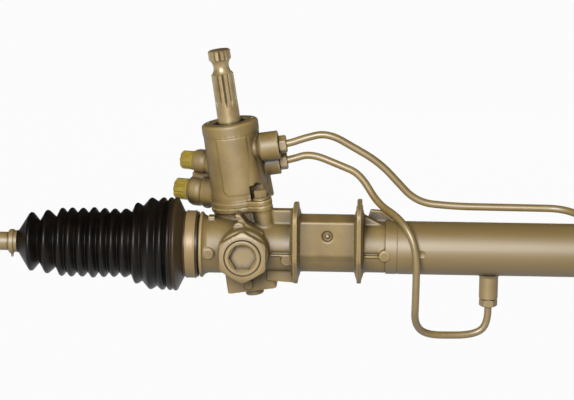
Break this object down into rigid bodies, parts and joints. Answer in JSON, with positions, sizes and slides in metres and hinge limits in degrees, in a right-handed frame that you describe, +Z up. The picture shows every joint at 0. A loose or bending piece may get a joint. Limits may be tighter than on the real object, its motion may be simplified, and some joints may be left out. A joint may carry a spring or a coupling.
{
  "type": "steering rack",
  "caption": "Hydraulic power steering rack with tilted pinion and valve housing, cylinder tube, pipes, bellows boots and inner tie rods.",
  "frame": {"origin": "on the rack axis, half way between the two mounting flanges of the bush seat", "axes": "+X along the rack towards the cylinder end, +Z up, -Y out through the rack guide"},
  "size_m": [1.229, 0.1022, 0.2493],
  "materials": {
    "cast_coated": "satin coated casting",
    "coated_tube": "satin coated steel tube",
    "coated_pipe": "satin coated steel pipe",
    "coated_steel": "satin coated steel",
    "bright_steel": "ground steel",
    "spring_steel": "satin",
    "boot_rubber": "moulded matt rubber",
    "seal_rubber": "matt",
    "plug_plastic": "moulded",
    "nylon": "moulded",
    "bronze_liner": "sintered"
  },
  "bodies": {
    "housing": {"gear_housing": "cast_coated", "cylinder_tube": "coated_tube", "tube_port_near": "coated_tube", "tube_port_far": "coated_tube", "inner_bulkhead": "bright_steel", "inner_rack_seal": "seal_rubber", "rack_end_bushing": "nylon", "outer_rack_seal": "seal_rubber", "end_retaining_ring": "spring_steel", "boot_collar": "coated_tube", "rack_guide": "cast_coated", "rack_guide_liner": "bronze_liner", "rack_guide_spring": "spring_steel", "rack_guide_plug": "coated_steel", "rack_guide_locknut": "coated_steel", "pinion_lower_bearing": "bright_steel", "pinion_upper_bearing": "bright_steel", "pinion_end_cap": "coated_steel", "valve_housing": "cast_coated", "valve_housing_bolts": "coated_steel", "input_shaft_seal": "seal_rubber", "dust_cover": "seal_rubber", "port_plugs": "plug_plastic", "short_pipe": "coated_pipe", "long_pipe": "coated_pipe", "valve_union_nuts": "coated_steel", "cylinder_union_nuts": "coated_steel", "boot_left": "boot_rubber", "boot_clamp_left": "coated_steel", "boot_right": "boot_rubber", "boot_clamp_right": "coated_steel"},
    "rack": {"rack_bar": "bright_steel", "rack_piston": "bright_steel", "piston_ring": "nylon", "ball_socket_left": "bright_steel", "ball_socket_right": "bright_steel", "lock_washer_left": "bright_steel", "lock_washer_right": "bright_steel"},
    "pinion": {"pinion_gear": "bright_steel", "pinion_nut": "bright_steel", "valve_sleeve": "bright_steel", "valve_seal_rings": "nylon", "torsion_bar": "bright_steel"},
    "input_shaft": {"input_shaft": "coated_steel"},
    "ball_seat_left": {"ball_seat_left": "nylon"},
    "tie_rod_left": {"tie_rod_left": "coated_steel", "tie_rod_locknut_left": "coated_steel", "boot_clip_left": "spring_steel"},
    "ball_seat_right": {"ball_seat_right": "nylon"},
    "tie_rod_right": {"tie_rod_right": "coated_steel", "tie_rod_locknut_right": "coated_steel", "boot_clip_right": "spring_steel"}
  },
  "joints": [
    {"name": "rack_slide", "type": "slide", "parent": "housing", "child": "rack", "axis": [1, 0, 0], "range_m": [-0.07, 0.07], "deforming": ["boot_left", "boot_right"]},
    {"name": "pinion_spin", "type": "hinge", "parent": "housing", "child": "pinion", "pos_m": [-0.071, 0.01744, 0], "axis": [-0.1461, 0, 0.9893], "range_deg": [-470, 470]},
    {"name": "input_twist", "type": "hinge", "parent": "pinion", "child": "input_shaft", "pos_m": [-0.071, 0.01744, 0], "axis": [-0.1461, 0, 0.9893], "range_deg": [-4, 4], "stiffness_Nm_per_rad": 85},
    {"name": "tie_rod_lift_left", "type": "hinge", "parent": "rack", "child": "ball_seat_left", "pos_m": [-0.2115, 0, 0], "axis": [0, 1, 0], "range_deg": [-20, 20], "deforming": ["boot_left"]},
    {"name": "tie_rod_swing_left", "type": "hinge", "parent": "ball_seat_left", "child": "tie_rod_left", "pos_m": [-0.2115, 0, 0], "axis": [0, 0, 1], "range_deg": [-20, 20], "deforming": ["boot_left"]},
    {"name": "tie_rod_lift_right", "type": "hinge", "parent": "rack", "child": "ball_seat_right", "pos_m": [0.4375, 0, 0], "axis": [0, 1, 0], "range_deg": [-20, 20], "deforming": ["boot_right"]},
    {"name": "tie_rod_swing_right", "type": "hinge", "parent": "ball_seat_right", "child": "tie_rod_right", "pos_m": [0.4375, 0, 0], "axis": [0, 0, 1], "range_deg": [-20, 20], "deforming": ["boot_right"]}
  ],
  "couplings": [
    {"joint": "pinion_spin", "follows": "rack_slide", "rad_per_m": 115.57}
  ]
}
